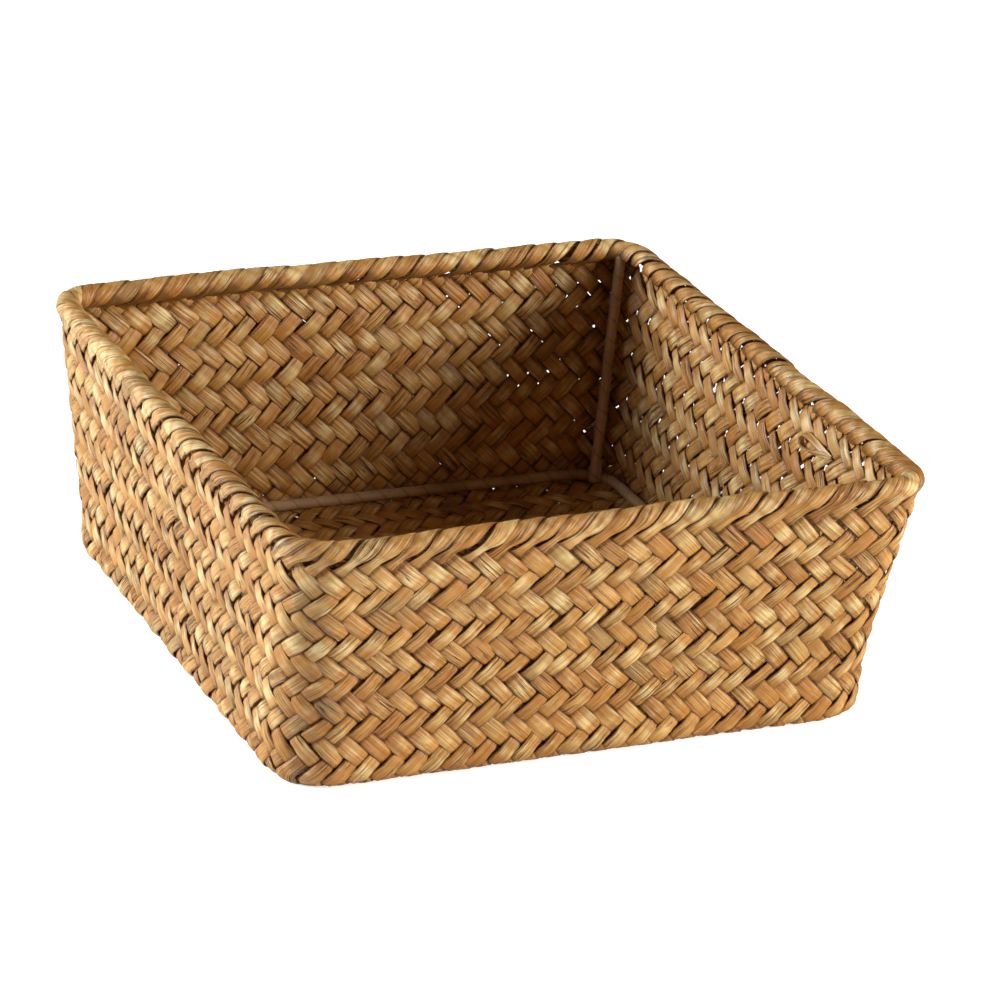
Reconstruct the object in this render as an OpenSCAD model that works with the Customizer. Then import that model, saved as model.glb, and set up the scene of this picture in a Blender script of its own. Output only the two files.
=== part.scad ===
// Plaited storage basket: a skin of flat seagrass strips over a paper-taped wire frame.
// Origin at the middle of the base, on the surface that the basket stands on. Front is -Y.

/* [Basket] */
// Width across the rim, left to right
top_w = 300; // [220:1:420]
// Depth across the rim, front to back
top_d = 308; // [220:1:420]
// Height from the floor to the top of the rim
height = 120; // [80:1:200]
// How far the left and right walls lean out between base and rim
lean_sides = 8.9; // [0:0.1:14]
// How far the front and back walls lean out between base and rim
lean_ends = 13.9; // [0:0.1:17]
// Height of the upright stretch at the foot of the walls
upright_h = 22; // [8:1:30]

/* [Plaited skin] */
// Thickness of the plaited skin
skin_t = 3.2; // [2:0.1:4.4]
// Corner radius in plan at the foot of the walls
base_corner_r = 26; // [20:1:40]
// Radius where the base turns up into the walls
foot_r = 6; // [5:0.1:9]

/* [Rim] */
// Diameter of the roll that the strips make over the top ring
roll_d = 10.4; // [9:0.1:13]
// Outer corner radius of the rim in plan
rim_corner_r = 22; // [19:1:32]
// How far the roll stands proud of the walls
roll_proud = 1.6; // [0.5:0.1:2]

/* [Wire frame] */
// Diameter of the steel wire
wire_d = 4; // [3:0.1:4.8]
// Thickness of the paper tape wound round the wire
tape_t = 0.6; // [0.3:0.1:0.8]
// Clearance between the bottom ring and the walls around it
ring_gap = 0.8; // [0.4:0.1:3]
// Clearance of every bore and notch that a wire or its tape passes through
bore_gap = 0.2; // [0.1:0.05:0.4]
// Depth that a post is sunk into a ring at its weld
weld_bite = 0.4; // [0.1:0.1:0.8]
// Clearance between a post's tape and the skin just below the rim
post_gap = 0.9; // [0.5:0.1:1.2]

/* [Strip loop] */
// Distance of the loop in front of the middle of the right wall
loop_forward = 56; // [0:1:70]
// Height of the loop above the floor
loop_z = 95; // [50:1:98]
// Length of the loop along the wall
loop_length = 22; // [14:1:30]
// Height of the loop
loop_height = 9; // [7:0.5:12]
// Thickness of the rolled strip that forms the loop
loop_strip_d = 2.4; // [1.6:0.1:3]

/* [Hidden] */
$fn = 48;

STRAW = [0.80, 0.62, 0.35];
STRAW_SHADE = [0.74, 0.56, 0.30];
STRAW_RIM = [0.84, 0.68, 0.42];
STEEL = [0.55, 0.55, 0.56];
TAPE = [0.48, 0.40, 0.32];

LEFT = -1;
RIGHT = 1;
FRONT = -1;
BACK = 1;

roll_r = roll_d / 2;
wire_r = wire_d / 2;
tape_r = wire_r + tape_t;
past = 1; // how far a cutting solid runs past what it cuts

// Heights of the ring wires' centre lines
rim_z = height - roll_r;
ring_z = skin_t + tape_r;

// The walls end level with the underside of the roll, less a hair of clearance.
seat_gap = 0.02;
wall_top_z = rim_z - roll_r - seat_gap;

// Share of the lean that the walls have reached at height z. It stays near 0 on the upright
// stretch and then rises evenly to 1 at the rim, with a soft bend between.
bend_softness = 8;
function bend(z) =
    let (t = z - upright_h)
    (t + sqrt(t * t + bend_softness * bend_softness)) / 2;
function flare(z) = (bend(z) - bend(0)) / (bend(rim_z) - bend(0));

// Half width, half depth and corner radius of the skin's outer face at height z
function half_w(z) = top_w / 2 - roll_proud - lean_sides * (1 - flare(z));
function half_d(z) = top_d / 2 - roll_proud - lean_ends * (1 - flare(z));
function corner_r(z) =
    base_corner_r + (rim_corner_r - roll_proud - base_corner_r) * z / rim_z;

// Section of the skin, listed from the base up to the rim as [inset from the outer face, z].
// depth is 0 on the outer face and skin_t on the inner face.
foot_steps = 4;
wall_rows = 8;
corner_steps = 8;
function section(depth) =
    let (r = foot_r - depth, rise = (wall_top_z - foot_r) / wall_rows)
    concat(
        [for (i = [0 : foot_steps])
            let (a = 90 * i / foot_steps)
            [foot_r - r * sin(a), foot_r - r * cos(a)]],
        [for (i = [1 : wall_rows]) [depth, foot_r + rise * i]]
    );
outer_section = section(0);
inner_section = section(skin_t);
last = len(outer_section) - 1;

// The section as one closed loop: up the outer face, then down the inner face
section_loop = concat(outer_section, [for (i = [last : -1 : 0]) inner_section[i]]);

// A point of the front right corner, at plan angle a from -90 (front) to 0 (right)
function corner_point(a, inset, z) =
    let (r = corner_r(z))
    [half_w(z) - r + (r - inset) * cos(a), -(half_d(z) - r) + (r - inset) * sin(a), z];

function corner_angle(step) = -90 + 90 * step / corner_steps;

// Solid through a row of stations, each holding the points of section_loop in its order.
// Both end caps are cut into the same triangles, so that neighbouring pieces meet exactly.
module skin_solid(stations) {
    n = len(section_loop);
    faces = concat(
        [for (i = [0 : len(stations) - 2])
            for (j = [0 : n - 1])
                let (a = i * n + j, b = i * n + (j + 1) % n, c = b + n, d = a + n)
                each [[a, b, d], [b, c, d]]],
        [for (j = [0 : last - 1])
            let (o = j, i = n - 1 - j)
            each [[o, i, o + 1], [i, i - 1, o + 1]]],
        [for (j = [0 : last - 1])
            let (o = (len(stations) - 1) * n + j, i = (len(stations) - 1) * n + n - 1 - j)
            each [[o, o + 1, i], [i, o + 1, i - 1]]]
    );
    polyhedron([for (s = stations) each s], faces);
}

// Puts a part made for the front right corner at any of the four corners
module at_corner(side, end) {
    mirror([side == LEFT ? 1 : 0, 0, 0])
        mirror([0, end == BACK ? 1 : 0, 0])
            children();
}

// A straight wall between two corners, made in front and turned about the Z axis.
// The front and back walls run along the width, the side walls along the depth.
module plaited_wall(turn) {
    along_width = turn % 180 == 0;
    stations = [for (u = [-1, 1])
        [for (p = section_loop)
            let (along = along_width ? half_w(p[1]) : half_d(p[1]))
            let (reach = along_width ? half_d(p[1]) : half_w(p[1]))
            [u * (along - corner_r(p[1])), -(reach - p[0]), p[1]]]];
    color(STRAW)
        rotate([0, 0, turn])
            skin_solid(stations);
}

// A rounded corner of the skin
module plaited_corner(side, end) {
    stations = [for (i = [0 : corner_steps])
        [for (p = section_loop) corner_point(corner_angle(i), p[0], p[1])]];
    color(STRAW_SHADE)
        at_corner(side, end)
            skin_solid(stations);
}

// The flat of the base, inside the turned-up foot of the walls
module plaited_base() {
    quarter = [for (i = [0 : corner_steps]) corner_point(corner_angle(i), foot_r, 0)];
    outline = concat(
        [for (i = [0 : corner_steps]) [quarter[i][0], quarter[i][1]]],
        [for (i = [corner_steps : -1 : 0]) [quarter[i][0], -quarter[i][1]]],
        [for (i = [0 : corner_steps]) [-quarter[i][0], -quarter[i][1]]],
        [for (i = [corner_steps : -1 : 0]) [-quarter[i][0], quarter[i][1]]]
    );
    color(STRAW_SHADE)
        linear_extrude(skin_t)
            polygon(outline);
}

// A straight rod of radius r along a ring's front, between its corner bends
module ring_straight(run, reach, z, r, extra = 0) {
    translate([-run - extra, -reach, z])
        rotate([0, 90, 0])
            cylinder(h = 2 * (run + extra), r = r);
}

// A quarter bend of radius r at a ring's front right corner
module ring_bend(centre, bend_r, z, r) {
    translate([centre[0], -centre[1], z])
        rotate([0, 0, -90])
            rotate_extrude(angle = 90)
                translate([bend_r, 0])
                    circle(r = r);
}

// A whole ring of round section. centre is where its front right bend turns, with both
// coordinates taken as positive.
module ring(centre, bend_r, z, r) {
    for (end = [0, 180]) {
        rotate([0, 0, end])
            ring_straight(centre[0], centre[1] + bend_r, z, r);
        rotate([0, 0, end + 90])
            ring_straight(centre[1], centre[0] + bend_r, z, r);
    }
    for (side = [LEFT, RIGHT], end = [FRONT, BACK])
        at_corner(side, end)
            ring_bend(centre, bend_r, z, r);
}

// Top ring: concentric with the rim's corners
rim_centre = [top_w / 2 - rim_corner_r, top_d / 2 - rim_corner_r];
rim_bend_r = rim_corner_r - roll_r;

module top_ring(r) {
    ring(rim_centre, rim_bend_r, rim_z, r);
}

// Bottom ring: lies on the base, concentric with the corners at the foot of the walls
ring_inset = max(skin_t + ring_gap + tape_r, foot_r);
base_centre = [half_w(0) - base_corner_r, half_d(0) - base_corner_r];
base_bend_r = base_corner_r - ring_inset;

module bottom_ring(r) {
    ring(base_centre, base_bend_r, ring_z, r);
}

// Each post is welded beside the bottom ring, on its inner side, and low on the inner side
// of the top ring, far enough in to clear the skin. foot and head lie on its axis at the two
// welds of the front right corner.
weld_pitch = wire_d - weld_bite;
diagonal = [cos(-45), sin(-45)];
foot_reach = base_bend_r - weld_pitch;
head_clear = roll_proud + skin_t + post_gap + tape_r - roll_r;
head_in = min(weld_pitch, max(weld_pitch / 2, head_clear));
head_down = sqrt(weld_pitch * weld_pitch - head_in * head_in);
head_reach = rim_bend_r - head_in;
foot = [
    base_centre[0] + foot_reach * diagonal[0],
    -base_centre[1] + foot_reach * diagonal[1],
    ring_z
];
head = [
    rim_centre[0] + head_reach * diagonal[0],
    -rim_centre[1] + head_reach * diagonal[1],
    rim_z - head_down
];
post_run = norm(head - foot);
post_tilt = acos((head[2] - foot[2]) / post_run);
post_turn = atan2(head[1] - foot[1], head[0] - foot[0]);

// A rod of radius r along a post's axis, run on past each weld by the given lengths
module post_rod(r, below = 0, above = 0) {
    translate(foot)
        rotate([0, post_tilt, post_turn])
            translate([0, 0, -below])
                cylinder(h = post_run + below + above, r = r);
}

module top_ring_wire() {
    color(STEEL)
        top_ring(wire_r);
}

module bottom_ring_wire() {
    color(STEEL)
        bottom_ring(wire_r);
}

// A post's wire, seated on both rings at its welds. The further it sits below the top ring, the
// further it runs on to reach it.
module post_wire(side, end) {
    color(STEEL)
        at_corner(side, end)
            difference() {
                post_rod(wire_r, below = wire_r / 2, above = max(wire_r, head_down) / 2);
                ring_bend(base_centre, base_bend_r, ring_z, wire_r);
                ring_bend(rim_centre, rim_bend_r, rim_z, wire_r);
            }
}

// Notches for all four posts' wires
module post_notches() {
    for (side = [LEFT, RIGHT], end = [FRONT, BACK])
        at_corner(side, end)
            post_rod(wire_r + bore_gap, below = wire_r, above = wire_r);
}

module top_ring_tape() {
    color(TAPE)
        difference() {
            top_ring(tape_r);
            top_ring(wire_r);
            post_notches();
        }
}

module bottom_ring_tape() {
    color(TAPE)
        difference() {
            bottom_ring(tape_r);
            bottom_ring(wire_r);
            post_notches();
        }
}

// The tape on a post, from the bottom ring's tape up to the roll of the rim
module post_tape(side, end) {
    color(TAPE)
        at_corner(side, end)
            difference() {
                post_rod(tape_r);
                post_rod(wire_r, below = past, above = past);
                ring_bend(base_centre, base_bend_r, ring_z, tape_r + bore_gap);
                ring_bend(rim_centre, rim_bend_r, rim_z, roll_r + bore_gap);
            }
}

// A straight length of the rolled rim, bored for the taped ring
module rim_roll(turn) {
    along_width = turn % 180 == 0;
    run = along_width ? rim_centre[0] : rim_centre[1];
    reach = (along_width ? rim_centre[1] : rim_centre[0]) + rim_bend_r;
    color(STRAW_RIM)
        rotate([0, 0, turn])
            difference() {
                ring_straight(run, reach, rim_z, roll_r);
                ring_straight(run, reach, rim_z, tape_r + bore_gap, past);
            }
}

// A corner of the rolled rim, bored for the taped ring and open below for the post
module rim_corner(side, end) {
    color(STRAW_RIM)
        at_corner(side, end)
            difference() {
                ring_bend(rim_centre, rim_bend_r, rim_z, roll_r);
                ring_bend(rim_centre, rim_bend_r, rim_z, tape_r + bore_gap);
                post_rod(wire_r + bore_gap, above = wire_r);
            }
}

// A bight of rolled strip that lies against the inside of the right wall, leaning with it:
// half a ring towards the back and two legs towards the front
loop_gap = 0.05;
module strip_loop() {
    bend_r = (loop_height - loop_strip_d) / 2;
    leg = loop_length - loop_height / 2;
    step = 1;
    wall_lean = atan2(half_w(loop_z + step) - half_w(loop_z - step), 2 * step);
    wall_x = half_w(loop_z) - skin_t;
    stand_off = (loop_strip_d / 2 + loop_gap) / cos(wall_lean);
    color(STRAW_RIM)
        translate([wall_x - stand_off, -loop_forward, loop_z])
            rotate([0, wall_lean, 0])
                rotate([90, 0, 90]) {
                    translate([loop_length / 2 - loop_height / 2, 0, 0])
                        rotate([0, 0, -90])
                            rotate_extrude(angle = 180)
                                translate([bend_r, 0])
                                    circle(r = loop_strip_d / 2);
                    for (s = [-1, 1])
                        translate([-loop_length / 2, s * bend_r, 0])
                            rotate([0, 90, 0])
                                cylinder(h = leg, r = loop_strip_d / 2);
                }
}

top_ring_wire();
bottom_ring_wire();
post_wire(LEFT, FRONT);  // post_wire_front_left
post_wire(RIGHT, FRONT);  // post_wire_front_right
post_wire(RIGHT, BACK);  // post_wire_back_right
post_wire(LEFT, BACK);  // post_wire_back_left
top_ring_tape();
bottom_ring_tape();
post_tape(LEFT, FRONT);  // post_tape_front_left
post_tape(RIGHT, FRONT);  // post_tape_front_right
post_tape(RIGHT, BACK);  // post_tape_back_right
post_tape(LEFT, BACK);  // post_tape_back_left
plaited_base();
plaited_wall(0);  // plaited_wall_front
plaited_wall(90);  // plaited_wall_right
plaited_wall(180);  // plaited_wall_back
plaited_wall(270);  // plaited_wall_left
plaited_corner(LEFT, FRONT);  // plaited_corner_front_left
plaited_corner(RIGHT, FRONT);  // plaited_corner_front_right
plaited_corner(RIGHT, BACK);  // plaited_corner_back_right
plaited_corner(LEFT, BACK);  // plaited_corner_back_left
rim_roll(0);  // rim_roll_front
rim_roll(90);  // rim_roll_right
rim_roll(180);  // rim_roll_back
rim_roll(270);  // rim_roll_left
rim_corner(LEFT, FRONT);  // rim_corner_front_left
rim_corner(RIGHT, FRONT);  // rim_corner_front_right
rim_corner(RIGHT, BACK);  // rim_corner_back_right
rim_corner(LEFT, BACK);  // rim_corner_back_left
strip_loop();
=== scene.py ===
"""Plaited seagrass basket: a hundred flat strips woven on the bias over a taped wire frame."""

import math

import bpy
import numpy as np
from bpy.props import FloatProperty, FloatVectorProperty, IntProperty, PointerProperty
from mathutils import Matrix, Vector


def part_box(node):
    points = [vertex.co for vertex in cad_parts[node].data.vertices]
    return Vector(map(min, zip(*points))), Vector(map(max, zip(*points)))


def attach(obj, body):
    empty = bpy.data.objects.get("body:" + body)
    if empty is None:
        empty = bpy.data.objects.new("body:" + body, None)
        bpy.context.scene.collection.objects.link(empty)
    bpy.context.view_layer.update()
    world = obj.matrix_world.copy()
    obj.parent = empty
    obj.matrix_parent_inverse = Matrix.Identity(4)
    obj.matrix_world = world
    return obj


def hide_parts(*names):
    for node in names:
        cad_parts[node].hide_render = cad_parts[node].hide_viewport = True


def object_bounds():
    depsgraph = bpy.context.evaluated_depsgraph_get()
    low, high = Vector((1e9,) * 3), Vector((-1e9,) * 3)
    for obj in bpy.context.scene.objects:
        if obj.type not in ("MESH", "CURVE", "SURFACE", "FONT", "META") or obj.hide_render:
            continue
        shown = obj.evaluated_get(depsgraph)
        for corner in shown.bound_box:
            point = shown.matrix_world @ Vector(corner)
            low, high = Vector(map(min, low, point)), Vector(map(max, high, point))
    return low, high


bl_info = {
    "name": "Plaited seagrass basket",
    "version": (1, 0, 0),
    "blender": (4, 5, 0),
    "location": "3D View > Sidebar > Basket",
    "description": "Weaves, tapes, finishes and lights a plaited storage basket",
    "category": "Object",
}

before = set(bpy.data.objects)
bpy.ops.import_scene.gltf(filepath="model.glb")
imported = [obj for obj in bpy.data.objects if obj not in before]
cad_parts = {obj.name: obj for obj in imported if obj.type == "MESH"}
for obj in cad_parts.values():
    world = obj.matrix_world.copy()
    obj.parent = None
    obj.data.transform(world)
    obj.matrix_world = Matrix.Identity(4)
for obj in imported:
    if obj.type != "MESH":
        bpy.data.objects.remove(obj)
CAD_LOW, CAD_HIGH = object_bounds()
BASE_LOW, BASE_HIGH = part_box("plaited_base")
ROLL_LOW, ROLL_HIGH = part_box("rim_roll_front")
RING_LOW, RING_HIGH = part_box("bottom_ring_tape")
WIRE_LOW, WIRE_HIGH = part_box("bottom_ring_wire")
LOOP_LOW, LOOP_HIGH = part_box("strip_loop")

MM = 0.001
ROOT = "root"
FRONT_WALL, RIGHT_WALL, BACK_WALL, LEFT_WALL, BASE = range(5)
SIDES = ("front", "right", "back", "left")
CORNERS = ("front_left", "front_right", "back_right", "back_left")
STRIP_WALLS = {(0, True): (FRONT_WALL, RIGHT_WALL), (0, False): (LEFT_WALL, BACK_WALL),
               (1, True): (BACK_WALL, RIGHT_WALL), (1, False): (FRONT_WALL, LEFT_WALL)}


def side_nodes(straight, corner):
    """For each wall, the names of its straight node and of the corner nodes at its two ends."""
    return {wall: (f"{straight}_{side}", f"{corner}_{CORNERS[wall]}",
                   f"{corner}_{CORNERS[(wall + 1) % 4]}") for wall, side in enumerate(SIDES)}


RIM_NODES = side_nodes("rim_roll", "rim_corner")
WALL_NODES = side_nodes("plaited_wall", "plaited_corner")


def length(name, default, description):
    """A length property, in metres."""
    return FloatProperty(name=name, description=description, default=default, unit="LENGTH",
                         precision=5)


def number(name, default, description):
    """A plain number property."""
    return FloatProperty(name=name, description=description, default=default, precision=4)


def colour(name, default, description):
    """A colour property, scene linear."""
    return FloatVectorProperty(name=name, description=description, default=default,
                               subtype="COLOR", size=3, min=0.0, max=1.0)


class BasketShape(bpy.types.PropertyGroup):
    """The surface that the strips follow."""

    half_width: length("Half width", CAD_HIGH.x, "Half the width across the rim")
    half_depth: length("Half depth", CAD_HIGH.y, "Half the depth across the rim")
    lean_sides: length("Side lean", 8.9 * MM, "How far the side walls lean out")
    lean_ends: length("End lean", 13.9 * MM, "How far the front and back walls lean out")
    upright: length("Upright foot", 22 * MM, "Height of the upright stretch at the foot")
    soft_bend: length("Bend softness", 8 * MM, "Softness of the bend above the upright stretch")
    roll_proud: length("Roll proud", 1.6 * MM, "How far the rim roll stands out from the walls")
    roll_radius: length("Roll radius", (ROLL_HIGH.z - ROLL_LOW.z) / 2, "Radius of the rim roll")
    rim_height: length("Rim height", (ROLL_HIGH.z + ROLL_LOW.z) / 2, "Height of the roll's axis")
    skin: length("Skin thickness", BASE_HIGH.z - BASE_LOW.z, "Thickness of the plaited skin")
    foot_radius: length("Foot radius", 6 * MM, "Radius where the base turns up")
    foot_corner: length("Foot corner", 26 * MM, "Corner radius in plan at the foot")
    rim_corner: length("Rim corner", 20.4 * MM, "Corner radius in plan of the skin at the rim")
    wall_wave: length("Wall wave", 0.7 * MM, "How far the walls wave in and out")
    rim_wave: length("Rim wave", 0.45 * MM, "How far the rim waves up and down")


class StripSizes(bpy.types.PropertyGroup):
    """The strips and how they cross."""

    per_side: IntProperty(name="Strips a side", description="Strips along each side", default=25)
    row_height: length("Row height", 10.35 * MM, "Height of two rows of crossings")
    fold_height: length("Fold height", 5.05 * MM, "Height where the lattice leaves the base")
    rim_row: number("Rim row", 9.9, "Lattice height where strips start round the roll")
    end_row: number("End row", 10.15, "Lattice height where strips end under the roll")
    tuck_row: number("Tuck row", 13.22, "Lattice height where a wrapped strip ends inside")
    phase: IntProperty(name="Twill phase", description="Row where the twill starts", default=2)
    swing: length("Swing", 0.92 * MM, "How far a strip swings from the middle of the skin")
    thickness: length("Strip thickness", 1.6 * MM, "Thickness of a strip at its crown")
    fill: number("Fill", 1.045, "Strip width as a share of the space for it")
    turn: number("Dive length", 0.52, "Share of a crossing over which a strip dives")
    puff: length("Puff", 0.5 * MM, "How far a float rises in its middle")
    tilt: length("Tilt", 0.36 * MM, "How far a float's edges tilt")
    odds: number("Width odds", 0.06, "Extra width of the strips in lanes above zero")
    overlap: length("Overlap", 0.3 * MM, "How far one edge of a wrap rides over the next")
    stray: number("Stray", 0.09, "How far a strip strays from its lane")
    frays: IntProperty(name="Frays", description="Number of split fibres that stand up",
                       default=170)
    seed: IntProperty(name="Seed", description="Seed of every irregularity", default=7)


class SeagrassLooks(bpy.types.PropertyGroup):
    """Colours of the strips."""

    straw: colour("Straw", (0.68, 0.370, 0.102), "Usual colour of a strip")
    pale: colour("Pale", (0.90, 0.68, 0.305), "Bleached parts of a strip")
    # Honey also paints shade towards the ends of floats and where strips dive.
    honey: colour("Honey", (0.49, 0.205, 0.036), "Orange-brown strips")
    # Rust also goes into the dark edges, partly as painted shade between strips.
    rust: colour("Rust", (0.215, 0.055, 0.011), "Reddish-brown stains and edges")
    moss: colour("Moss", (0.36, 0.26, 0.095), "Greenish-grey strips")
    # Bark also paints the shade of crevices where strips dive and under the roll.
    bark: colour("Bark", (0.040, 0.013, 0.004), "Splits and deep crevices")


class FrameLooks(bpy.types.PropertyGroup):
    """Sizes and colours of the taped wire frame."""

    tape_pitch: length("Tape pitch", 11 * MM, "Distance between overlaps of the wound tape")
    tape_step: length("Tape step", 0.22 * MM, "Height of the step at an overlap")
    paper: colour("Paper", (0.56, 0.36, 0.20), "Colour of the paper tape")
    paper_dark: colour("Paper shade", (0.30, 0.175, 0.085), "Colour along the tape's overlaps")
    steel: colour("Steel", (0.42, 0.42, 0.43), "Colour of the wire")


class StudioSettings(bpy.types.PropertyGroup):
    """Floor, lights and camera."""

    floor_side: length("Floor side", 12.0, "Side of the square floor")
    floor: colour("Floor", (0.9, 0.9, 0.9), "Colour of the floor")
    floor_lift: number("Floor lift", 0.62, "How far the floor is lifted towards white as seen")
    sky: number("Sky", 0.015, "Strength of the even light all round")
    backdrop: number("Backdrop", 1.0, "Brightness of the backdrop as seen")
    left: number("Left light", 72.0, "Power of the light behind on the left")
    front: number("Front light", 50.5, "Power of the light in front on the right")
    right: number("Right light", 13.0, "Power of the light on the right")
    lens: FloatProperty(name="Lens", description="Focal length in millimetres", default=164.95)
    eye: FloatVectorProperty(name="Eye", description="Place of the camera", size=3,
                             default=(-0.8048, -1.6991, 0.8728), subtype="XYZ", unit="LENGTH")
    heading: FloatProperty(name="Heading", default=0.4497, subtype="ANGLE",
                           description="Turn of the view from straight ahead")
    dip: FloatProperty(name="Dip", default=0.4071, subtype="ANGLE",
                       description="How far the view looks down")
    roll: FloatProperty(name="Roll", default=0.0781, subtype="ANGLE",
                        description="Tilt of the view about its axis")


def smooth(t):
    """0 below 0, 1 above 1 and a smooth step, 3t^2 - 2t^3, between."""
    t = np.clip(t, 0.0, 1.0)
    return t * t * (3 - 2 * t)


def wander(t, rng, scale, terms=4):
    """Smooth seeded curve about 1 high: a sum of sines with periods near scale."""
    rates = rng.uniform(0.5, 1.6, terms) / scale
    phases = rng.uniform(0, 2 * np.pi, terms)
    waves = np.sin(2 * np.pi * np.multiply.outer(t, rates) + phases)
    return waves.sum(-1) / math.sqrt(terms)


def length_along(points):
    """Length of the line through the points, up to each of them."""
    return np.concatenate([[0], np.cumsum(np.linalg.norm(np.diff(points, axis=0), axis=1))])


def unit(vectors):
    """The vectors, each divided by its length."""
    return vectors / np.linalg.norm(vectors, axis=-1, keepdims=True)


def lane_number(lane):
    """Whole number of a lane, for its seeds."""
    return int(round((lane + 60) * 2))


def wraps_roll(family, wall):
    """Whether a family's strips go round the roll on a wall: family 0 does on the right and left
    walls, and family 1 on the front and back walls. None does on the base."""
    return (wall % 2 == 1 - family) & (wall != BASE)


def plan_sizes(z, shape):
    """Half width, half depth and corner radius of the skin's outer face at height z. The lean
    grows as the soft ramp (t + sqrt(t^2 + s^2)) / 2, with t the height above the upright foot."""
    z = np.clip(z, 0.0, shape.rim_height)

    def ramp(h):
        t = h - shape.upright
        return (t + np.sqrt(t * t + shape.soft_bend ** 2)) / 2

    share = (ramp(z) - ramp(0.0)) / (ramp(shape.rim_height) - ramp(0.0))
    half_w = shape.half_width - shape.roll_proud - shape.lean_sides * (1 - share)
    half_d = shape.half_depth - shape.roll_proud - shape.lean_ends * (1 - share)
    corner = shape.foot_corner + (shape.rim_corner - shape.foot_corner) * z / shape.rim_height
    return half_w, half_d, corner


def outline(lap, inset, z, shape, side_count):
    """Plan point and outward normal at lap position `lap`, which counts strips round the basket
    from the front left corner: a rounded rectangle, with each side's straight run and its two
    eighth turns spaced evenly along their length, moved inwards by inset."""
    half_w, half_d, corner = plan_sizes(z, shape)
    side = np.floor(lap / side_count)
    u = lap - side_count * (side + 0.5)
    odd = np.mod(side, 2) == 1
    run = np.where(odd, half_d, half_w) - corner
    reach = np.where(odd, half_w, half_d) - corner
    straight = side_count / 2 * run / (run + corner * np.pi / 4)
    bend = np.clip((np.abs(u) - straight) / (side_count / 2 - straight), 0, 1) * np.pi / 4
    sign = np.where(u < 0, -1.0, 1.0)
    along = sign * (np.minimum(np.abs(u) / straight, 1) * run + (corner - inset) * np.sin(bend))
    out = reach + (corner - inset) * np.cos(bend)
    turn = side * np.pi / 2
    c, s = np.cos(turn), np.sin(turn)
    n_along, n_out = sign * np.sin(bend), np.cos(bend)
    return (along * c + out * s, along * s - out * c,
            n_along * c + n_out * s, n_along * s - n_out * c)


def hermite(p0, t0, p1, t1, count):
    """Cubic from p0 to p1 with end tangents t0 and t1, as count points."""
    t = np.linspace(0, 1, count)[:, None]
    return ((2 * t ** 3 - 3 * t ** 2 + 1) * p0 + (t ** 3 - 2 * t ** 2 + t) * t0
            + (-2 * t ** 3 + 3 * t ** 2) * p1 + (t ** 3 - t ** 2) * t1)


# A wrapped strip's way round the roll, in degrees from level on the outside, and how far below the
# roll's axis it turns in and ends, in roll radii.
WRAP_START, WRAP_END, TURN_IN, WRAP_TAIL = -25, 248, 1.45, 1.85


def rim_profile(shape, sizes):
    """Path of a wrapped strip in section, as inset and height by length: up from the outer layer,
    round the roll's circle over the top, and down to lie between the layers of the wall."""
    radius = shape.roll_radius - 0.35 * sizes.thickness
    centre = np.array([shape.roll_radius - shape.roll_proud, shape.rim_height])
    middle = shape.skin / 2
    start = np.array([middle - sizes.swing, sizes.fold_height + sizes.row_height * sizes.rim_row])
    angle = np.radians(np.linspace(WRAP_START, WRAP_END, 90))
    circle = centre + radius * np.stack([-np.cos(angle), np.sin(angle)], 1)
    first = np.array([math.sin(angle[0]), math.cos(angle[0])])
    last = np.array([math.sin(angle[-1]), math.cos(angle[-1])])
    rise = np.linalg.norm(circle[0] - start)
    up = hermite(start, np.array([0.0, rise]), circle[0], first * rise, 20)
    turn_in = np.array([middle + 0.4 * sizes.swing,
                        shape.rim_height - TURN_IN * shape.roll_radius])
    fall = np.linalg.norm(circle[-1] - turn_in)
    down = hermite(circle[-1], last * fall, turn_in, np.array([0.0, -0.8 * fall]), 30)
    end = np.array([middle, shape.rim_height - WRAP_TAIL * shape.roll_radius])
    path = np.concatenate([up[:-1], circle, down[1:], end[None]])
    gone = length_along(path)
    tangent = unit(np.gradient(path, gone, axis=0))
    normal = np.stack([-tangent[:, 1], tangent[:, 0]], 1)
    return gone, path, normal


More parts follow.
